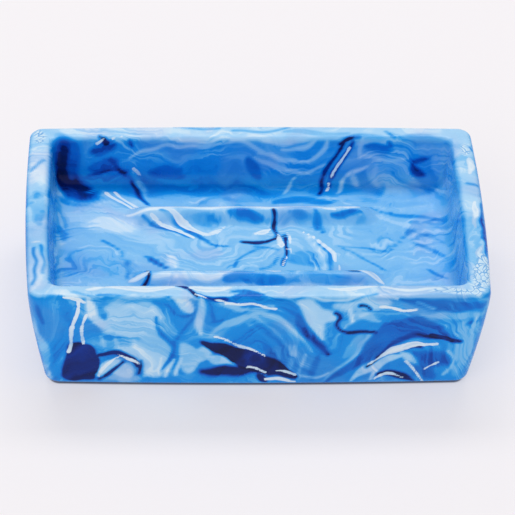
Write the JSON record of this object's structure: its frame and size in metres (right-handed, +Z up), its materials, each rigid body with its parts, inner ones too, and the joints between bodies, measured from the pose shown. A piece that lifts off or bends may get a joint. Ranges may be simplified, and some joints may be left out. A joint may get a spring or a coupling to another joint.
{
  "type": "soap tray",
  "caption": "Open rectangular marbled soap tray with bowed, tapering sides, a shallow cavity, raised drain bars on its floor and thin pads under its base.",
  "frame": {"origin": "middle of the tray, on the surface that its pads stand on", "axes": "+X along the tray, +Y across it towards the rear, +Z up out of the cavity"},
  "size_m": [0.14, 0.09, 0.037],
  "materials": {
    "marbled_casting": "semi-gloss cast surface, marbled in navy, azure, pale blue and white",
    "pad": "satin translucent film"
  },
  "bodies": {
    "root": {"tray_body": "marbled_casting", "front_bar": "marbled_casting", "rear_bar": "marbled_casting", "front_left_pad": "pad", "front_right_pad": "pad", "rear_left_pad": "pad", "rear_right_pad": "pad"}
  },
  "joints": []
}
